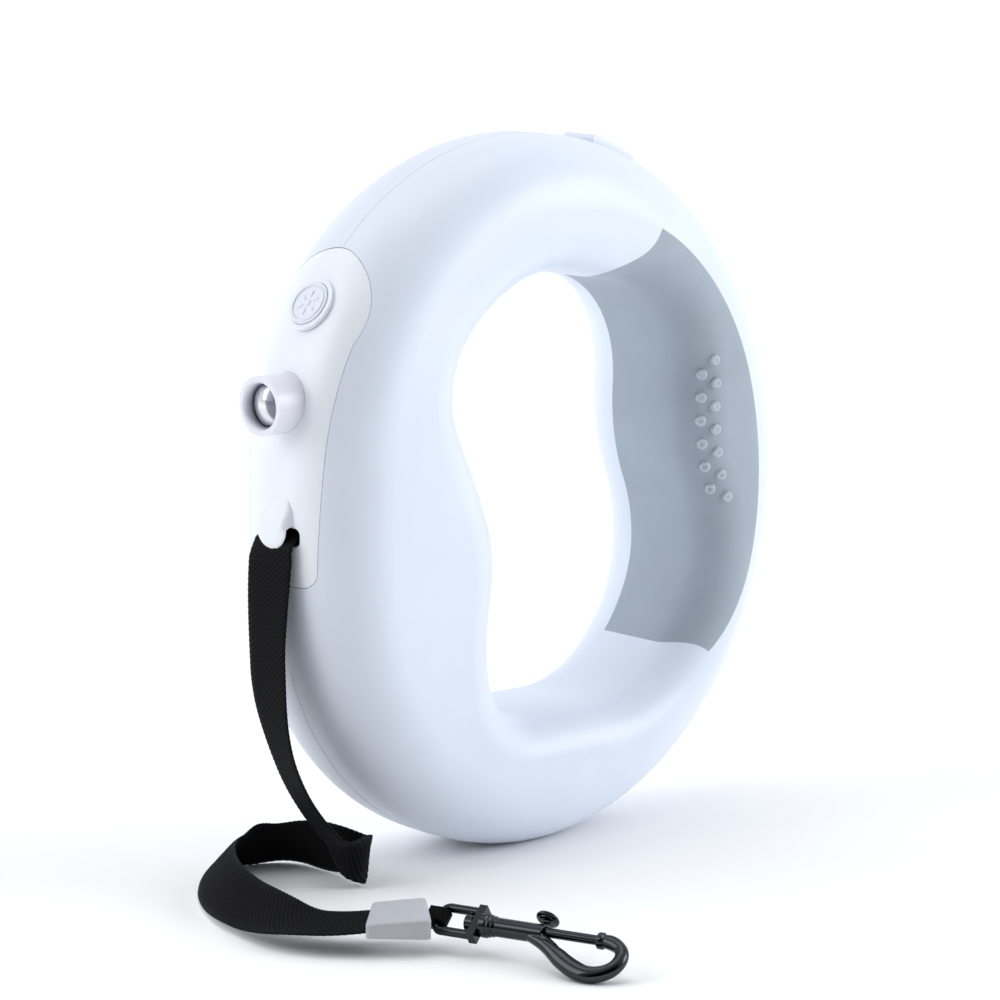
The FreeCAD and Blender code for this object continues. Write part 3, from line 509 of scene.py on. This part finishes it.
def light_button_details():
    """Raised generic rays on the light button and a soft ring at its edge."""
    turn = math.asin(BUTTON_HEIGHT / HALF_HEIGHT)
    spot = Vector((-HALF_WIDTH * math.cos(turn), 0, BUTTON_HEIGHT + RING_HEIGHT))
    out = Vector((-math.cos(turn) / HALF_WIDTH, 0, math.sin(turn) / HALF_HEIGHT)).normalized()
    face = spot + out * 0.7 * MM
    ring = arc_profile(0.0, 4.35, 0.28, -90, 90, 8) + [(-0.1, 4.05), (-0.1, 4.65)]
    lathe_piece("light_button_ring", ring, face, out, "button_white", "light")
    dot = [(0.22, 0.0), (0.20, 0.5), (0.12, 0.75), (-0.1, 0.85), (-0.1, 0.0)]
    lathe_piece("light_button_dot", dot, face, out, "button_white", "light", False)
    frame_turn = out.to_track_quat("Z", "Y").to_matrix()
    vertices = []
    faces = []
    for ray in range(6):
        angle = math.radians(60 * ray + 30)
        along = Vector((math.cos(angle), math.sin(angle), 0))
        side = Vector((-math.sin(angle), math.cos(angle), 0))
        first = len(vertices)
        for level, grow in ((-0.1, 1.0), (0.14, 1.0), (0.20, 0.6)):
            for reach, half in ((1.5, 0.16), (2.9, 0.26)):
                middle = 2.2 + (reach - 2.2) * (0.85 + 0.15 * grow)
                for sign in (-1, 1):
                    local = along * middle + side * (sign * half * grow) + Vector((0, 0, level))
                    vertices.append(face + frame_turn @ (local * MM))
        for layer in (0, 1):
            low = first + 4 * layer
            for a, b in ((0, 1), (1, 3), (3, 2), (2, 0)):
                faces.append((low + a, low + b, low + b + 4, low + a + 4))
        faces.append((first, first + 2, first + 3, first + 1))
        faces.append((first + 8, first + 9, first + 11, first + 10))
    rays = mesh_object("light_button_rays", vertices, faces, "button_white", False)
    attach(rays, "light")


light_button_details()


# ------------------------------------------------------------------ outlet tongue
SLOT_TOP = 0.9
TONGUE_RADIUS = 4.9
TONGUE_MIDDLE = 1.0
TONGUE_TOP = 10.0
TONGUE_BACK = -72.95
TONGUE_PROUD = 2.7


def smooth_step(value):
    value = min(max(value, 0.0), 1.0)
    return value * value * (3 - 2 * value)


def outlet_tongue():
    """Hood that swells out of the panel and ends in a round tongue over the tape."""
    tree = node_tree("front_panel")
    rows, columns = 44, 24
    vertices = []
    for layer in ("front", "back"):
        for row in range(rows + 1):
            share = row / rows
            z = TONGUE_TOP + (TONGUE_MIDDLE - TONGUE_RADIUS - TONGUE_TOP) * math.sin(share * math.pi / 2)
            drop = max(TONGUE_MIDDLE - z, 0.0)
            half = math.sqrt(max(TONGUE_RADIUS ** 2 - drop ** 2, 0.0001))
            half *= 0.45 + 0.55 * smooth_step((TONGUE_TOP - z) / 6.0)
            for column in range(columns + 1):
                y = half * math.sin((2 * column / columns - 1) * math.pi / 2)
                hit = tree.ray_cast(Vector((-90, y, z)) * MM + Vector((0, 0, RING_HEIGHT)),
                                    Vector((1, 0, 0)))[0]
                skin = hit.x / MM if hit is not None and hit.x < -69 * MM else -71.0
                inner = smooth_step((SLOT_TOP + 0.9 - z) / 0.9)
                base = (skin + 0.40) * (1 - inner) + TONGUE_BACK * inner
                edge = min(TONGUE_RADIUS - math.hypot(y, drop), half - abs(y))
                crown = math.sqrt(1 - (1 - min(max(edge / 1.8, 0.0), 1.0)) ** 2)
                swell = smooth_step((TONGUE_TOP - z) / TONGUE_TOP) ** 1.3
                front = skin + 0.08 - (TONGUE_PROUD + 0.08) * swell * crown
                x = min(front, base - 0.02 - 0.6 * inner * crown) if layer == "front" else base
                vertices.append(Vector((x, y, z)) * MM + Vector((0, 0, RING_HEIGHT)))
    stride = columns + 1
    layer_size = stride * (rows + 1)
    faces = []
    for row in range(rows):
        for column in range(columns):
            a = row * stride + column
            faces.append((a, a + stride, a + stride + 1, a + 1))
            b = a + layer_size
            faces.append((b, b + 1, b + stride + 1, b + stride))
    border = [column for column in range(columns)]
    border += [row * stride + columns for row in range(rows)]
    border += [rows * stride + column for column in range(columns, 0, -1)]
    border += [row * stride for row in range(rows, 0, -1)]
    for a, b in zip(border, border[1:] + border[:1]):
        faces.append((a, b, b + layer_size, a + layer_size))
    tongue = mesh_object("outlet_tongue", vertices, faces, "panel_white")
    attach(tongue, "housing")
    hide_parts("outlet_lip")


outlet_tongue()


# ------------------------------------------------------------------ shell seam
def shell_seam():
    """Fine parting line round the rim where the two shells meet."""
    tree = node_tree("front_shell")
    curve = bpy.data.curves.new("seam", "CURVE")
    curve.dimensions = "3D"
    curve.bevel_depth = 0.07 * MM
    curve.bevel_resolution = 2
    middle = Vector((0, -0.02 * MM, RING_HEIGHT))
    run = []
    for step in range(721):
        angle = math.radians(step / 2)
        out = Vector((math.cos(angle), 0, math.sin(angle)))
        hit = tree.ray_cast(middle + out * 0.12, -out)[0]
        reach = 0.0
        if hit is not None:
            reach = math.hypot(hit.x / HALF_WIDTH, (hit.z - RING_HEIGHT) / HALF_HEIGHT)
        if reach > 0.975 and hit.z > 0.8 * MM:
            run.append(Vector((hit.x, 0, hit.z)))
            if step < 720:
                continue
        if len(run) > 4:
            spline = curve.splines.new("POLY")
            spline.points.add(len(run) - 1)
            for point, spot in zip(spline.points, run):
                point.co = (*spot, 1.0)
        run = []
    holder = bpy.data.objects.new("seam", curve)
    bpy.context.scene.collection.objects.link(holder)
    graph = bpy.context.evaluated_depsgraph_get()
    seam_mesh = bpy.data.meshes.new_from_object(holder.evaluated_get(graph))
    bpy.data.objects.remove(holder)
    seam_mesh.materials.clear()
    seam_mesh.materials.append(MATERIALS["seam_grey"])
    seam = bpy.data.objects.new("shell_seam", seam_mesh)
    bpy.context.scene.collection.objects.link(seam)
    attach(seam, "housing")


shell_seam()


# ------------------------------------------------------------------ grip nubs
NUB_ROWS = 7
NUB_PITCH = 5.55
NUB_COLUMNS = ((27.4, 6.6), (24.0, 3.6))


def grip_nubs():
    """A dished stud cap on each stud of the grip, in a lighter copy of the grip rubber: painted highlight
    for the light the raised studs catch.
    """
    tree = node_tree("grip_liner")

    def skin(x, z):
        hit = tree.ray_cast(Vector((x, -40, z)) * MM + Vector((0, 0, RING_HEIGHT)), Vector((0, 1, 0)))
        return (hit[0].y / MM, hit[1]) if hit[0] is not None else (0.0, Vector((0, -1, 0)))

    for column, (top, reach) in enumerate(NUB_COLUMNS):
        for row in range(NUB_ROWS - column):
            z = top - row * NUB_PITCH
            wall = tree.ray_cast(Vector((20, 0, z)) * MM + Vector((0, 0, RING_HEIGHT)), Vector((1, 0, 0)))[0]
            best = wall.x / MM + reach
            out = (skin(best, z - 2.2)[1] + skin(best, z + 2.2)[1]).normalized()
            level = (skin(best, z - 2.2)[0] + skin(best, z + 2.2)[0]) / 2
            spot = Vector((best, level, z)) * MM + Vector((0, 0, RING_HEIGHT))
            cap = [(0.74, 0.0), (0.80, 0.32)] + arc_profile(0.48, 0.76, 0.46, 80, 0, 6)
            cap += [(-0.5, 1.30), (-0.5, 0.0)]
            name = f"grip_nub_{column}_{row}"
            # the caps keep the grip rubber's slot and are drawn in its lighter copy, a painted highlight
            lathe_piece(name, cap, spot, out, "grip_grey", "housing", False, "nub_highlight_grey")


grip_nubs()


# ------------------------------------------------------------------ hook and sleeve
HOOK_SPOT = Vector((-72.2, -62.6, 6.25))
HOOK_HEADING = -71.8
HOOK_ROLL = 35.0
SLEEVE_SPOT = Vector((-76.50, -54.16, 6.25))
SLEEVE_HEADING = -38.0
SLEEVE_ROLL = 4.0
BOLT_SIDE = 0.6


def lying(spot, heading, roll):
    """Frame of a piece that lies on the floor, X along it, in metres from millimetres."""
    turn = Matrix.Rotation(math.radians(heading), 4, "Z") @ Matrix.Rotation(math.radians(roll), 4, "X")
    return Matrix.Translation(spot * MM) @ turn @ Matrix.Scale(MM, 4)


def ring_shell(profile, spot, along):
    """Closed lathe shell in millimetres, turned round a line through spot."""
    turn = Vector(along).to_track_quat("Z", "Y").to_matrix()
    vertices, faces = closed_lathe(profile, Vector((0, 0, 0)), turn, 48)
    return [v / MM + Vector(spot) for v in vertices], faces


def disc_shell(profile, spot, along):
    turn = Vector(along).to_track_quat("Z", "Y").to_matrix()
    vertices, faces = capped_lathe(profile, Vector((0, 0, 0)), turn, 48)
    return [v / MM + Vector(spot) for v in vertices], faces


def bar_shell(route, sizes):
    """Bar of oval section along a flat route; sizes are (half height in the plane, half depth)."""
    line = even_steps(nurbs_points([(x, y, 0.0) for x, y in route], 12), 0.35)
    vertices = []
    lanes = 28
    for index, spot in enumerate(line):
        share = index / (len(line) - 1) * (len(sizes) - 1)
        low = min(int(share), len(sizes) - 2)
        part = share - low
        high, deep = (sizes[low][k] * (1 - part) + sizes[low + 1][k] * part for k in (0, 1))
        run = (line[min(index + 1, len(line) - 1)] - line[max(index - 1, 0)]).normalized()
        side = Vector((-run.y, run.x, 0))
        for lane in range(lanes):
            angle = 2 * math.pi * lane / lanes
            vertices.append(spot + side * (high * math.cos(angle)) + Vector((0, 0, deep * math.sin(angle))))
    faces = []
    for row in range(len(line) - 1):
        for lane in range(lanes):
            a = row * lanes + lane
            b = row * lanes + (lane + 1) % lanes
            faces.append((a, b, b + lanes, a + lanes))
    faces.append(tuple(range(lanes - 1, -1, -1)))
    last = (len(line) - 1) * lanes
    faces.append(tuple(range(last, last + lanes)))
    return vertices, faces


def cast_piece(name, node, shells, place, voxel, body, shrink):
    """One blended casting of a CAD node's shape and extra shells drawn in its own frame."""
    source = frame["nodes"][node].data
    vertices = [vertex.co.copy() for vertex in source.vertices]
    faces = [tuple(polygon.vertices) for polygon in source.polygons]
    for shell_vertices, shell_faces in shells:
        first = len(vertices)
        vertices += [place @ v for v in shell_vertices]
        faces += [tuple(first + corner for corner in face) for face in shell_faces]
    piece = mesh_object(name, vertices, faces, "hook_metal")
    blend = piece.modifiers.new("blend", "REMESH")
    blend.mode = "VOXEL"
    blend.voxel_size = voxel * MM
    blend.use_smooth_shade = True
    relax = piece.modifiers.new("relax", "SMOOTH")
    relax.factor = 0.5
    relax.iterations = 4
    ease = piece.modifiers.new("ease", "DISPLACE")
    ease.mid_level = 0.0
    ease.strength = -shrink * MM
    apply_modifiers(piece)
    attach(piece, body)
    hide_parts(node)
    return piece


def hook_castings():
    """Hook with a broad crescent, collars and a tip ring, and its bolt with a domed thumb disc."""
    place = lying(HOOK_SPOT, HOOK_HEADING, HOOK_ROLL)
    route = ((14.2, -1.5), (17.5, -2.3), (20.5, -3.7), (26.5, -7.4), (31.5, -8.8), (36.0, -6.6),
             (37.0, -2.4), (34.4, 0.3), (31.0, BOLT_SIDE))
    sizes = ((0.6, 1.2), (1.4, 1.7), (2.0, 1.8), (2.1, 1.8), (1.9, 1.7), (1.6, 1.6), (1.5, 1.5),
             (1.45, 1.45))
    rings = []
    for spot, half, outer in ((4.9, 0.35, 2.45), (5.9, 0.25, 2.3)):
        profile = [(-half, 1.9)] + arc_profile(-half + 0.2, outer - 0.2, 0.2, -90, 0, 4)
        profile += arc_profile(half - 0.2, outer - 0.2, 0.2, 0, 90, 4) + [(half, 1.9)]
        rings.append(ring_shell(profile, (spot, 0, 0), (1, 0, 0)))
    tip = [(-0.7, 1.3)] + arc_profile(-0.45, 1.6, 0.25, -90, 0, 4)
    tip += arc_profile(0.45, 1.6, 0.25, 0, 90, 4) + [(0.7, 1.3)]
    rings.append(ring_shell(tip, (30.6, BOLT_SIDE, 0), (1, 0, 0)))
    cast_piece("hook_casting", "hook_body", [bar_shell(route, sizes)] + rings, place, 0.13, "hook",
               0.03)
    dome = [(0.0, 0.0), (0.0, 2.1)] + arc_profile(0.5, 2.2, 0.5, -90, 60, 6)
    dome += [(1.25, 1.6), (1.45, 0.8), (1.5, 0.0)]
    cast_piece("bolt_casting", "slide_bolt", [disc_shell(dome, (16.6, 3.5, 0), (0, 1, 0))], place,
               0.11, "bolt", 0.08)


def end_sleeve():
    """Moulded grey sleeve, flatter and cut slanting where the tape goes in, with rounded edges."""
    place = lying(SLEEVE_SPOT, SLEEVE_HEADING, SLEEVE_ROLL)
    lanes = 72
    stations = ((-13.6, 0.70, 0.62), (-13.95, 0.90, 0.86), (-13.8, 0.97, 0.96), (-13.0, 1.0, 1.0),
                (-9.0, 1.0, 1.0), (-5.0, 1.0, 1.0), (-1.3, 1.0, 1.0), (-0.45, 0.985, 0.97),
                (-0.1, 0.94, 0.90), (0.0, 0.84, 0.74))
    vertices = []
    for along, wide, tall in stations:
        share = (along + 14.0) / 14.0
        half_width = (6.9 + 0.1 * share) * wide
        half_height = (1.75 + 0.75 * share) * tall
        for lane in range(lanes):
            angle = 2 * math.pi * lane / lanes
            c, n = math.cos(angle), math.sin(angle)
            y = half_width * math.copysign(abs(c) ** 0.20, c)
            z = half_height * math.copysign(abs(n) ** 0.20, n)
            slant = max(0.0, 1 - share * 1.6) * 2.6 * (y / 7.0 + 1) / 2
            vertices.append(place @ Vector((along + slant, y, z)))
    faces = []
    for row in range(len(stations) - 1):
        for lane in range(lanes):
            a = row * lanes + lane
            b = row * lanes + (lane + 1) % lanes
            faces.append((a, a + lanes, b + lanes, b))
    faces.append(tuple(range(lanes)))
    last = (len(stations) - 1) * lanes
    faces.append(tuple(range(last + lanes - 1, last - 1, -1)))
    sleeve = mesh_object("sleeve_moulding", vertices, faces, "sleeve_grey")
    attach(sleeve, "housing")
    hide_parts("end_sleeve")


hook_castings()
end_sleeve()


# ------------------------------------------------------------------ stage and light
FLAG_SIDE = (-0.69, -0.72, 0.0)
FLAG_EDGES = (0.15, 0.85)
SKY_STRENGTH = 0.92
SKY_BEHIND_FLAG = 0.02
FLOOR_REACH = 6.0
FLOOR_GLOW = 0.4
SOFTBOXES = (
    ("left_softbox", (-0.9, 0.5, 0.6), 0.8, 4.4, (1.0, 1.0, 1.0)),
    ("right_softbox", (0.8, -0.9, 0.5), 0.7, 7.0, (0.93, 0.95, 1.0)),
    ("top_softbox", (0.1, 0.2, 1.3), 0.8, 2.6, (1.0, 1.0, 1.0)),
)


def area_light(name, spot, size, power, color):
    data = bpy.data.lights.new(name, "AREA")
    data.shape = "RECTANGLE"
    data.size = size
    data.size_y = size
    data.energy = power
    data.color = color
    light = bpy.data.objects.new(name, data)
    light.location = spot
    light.rotation_euler = (Vector((0, 0, 0.08)) - Vector(spot)).to_track_quat("-Z", "Y").to_euler()
    bpy.context.scene.collection.objects.link(light)


def studio_sky(world):
    """Even pale surround, darker behind the camera, as a dark flag there gives."""
    nodes = world.node_tree.nodes
    links = world.node_tree.links
    background = nodes["Background"]
    background.inputs["Color"].default_value = (0.95, 0.97, 1.0, 1.0)
    place = nodes.new("ShaderNodeTexCoord")
    dot = nodes.new("ShaderNodeVectorMath")
    dot.operation = "DOT_PRODUCT"
    dot.inputs[1].default_value = FLAG_SIDE
    links.new(place.outputs["Generated"], dot.inputs[0])
    fade = nodes.new("ShaderNodeMapRange")
    fade.interpolation_type = "SMOOTHSTEP"
    fade.inputs["From Min"].default_value = FLAG_EDGES[0]
    fade.inputs["From Max"].default_value = FLAG_EDGES[1]
    fade.inputs["To Min"].default_value = SKY_STRENGTH
    fade.inputs["To Max"].default_value = SKY_STRENGTH * SKY_BEHIND_FLAG
    links.new(dot.outputs["Value"], fade.inputs["Value"])
    links.new(fade.outputs["Result"], background.inputs["Strength"])


def make_stage():
    material, shader = new_material("floor", (0.985, 0.985, 0.985), 0.9)
    bump(material, shader, noise(material, 400.0), 0.02, 0.05 * MM)
    distance = add_node(material, "ShaderNodeVectorMath")
    distance.operation = "LENGTH"
    link(material, coordinates(material), distance.inputs[0])
    glow = add_node(material, "ShaderNodeMapRange", From_Min=0.4, From_Max=2.0, To_Min=0.0,
                    To_Max=FLOOR_GLOW)
    link(material, distance.outputs["Value"], glow.inputs["Value"])
    link(material, glow.outputs["Result"], shader.inputs["Emission Strength"])
    shader.inputs["Emission Color"].default_value = (1.0, 1.0, 1.0, 1.0)
    reach = FLOOR_REACH
    mesh = bpy.data.meshes.new("floor")
    corners = [(-reach, -reach, 0), (reach, -reach, 0), (reach, reach, 0), (-reach, reach, 0)]
    mesh.from_pydata(corners, [], [(0, 1, 2, 3)])
    mesh.materials.append(material)
    floor = bpy.data.objects.new("floor", mesh)
    floor.location.z = -0.0002
    bpy.context.scene.collection.objects.link(floor)
    world = bpy.data.worlds.new("studio")
    bpy.context.scene.world = world
    world.use_nodes = True
    studio_sky(world)
    for softbox in SOFTBOXES:
        area_light(*softbox)
    bpy.context.scene.view_settings.view_transform = "Standard"


make_stage()
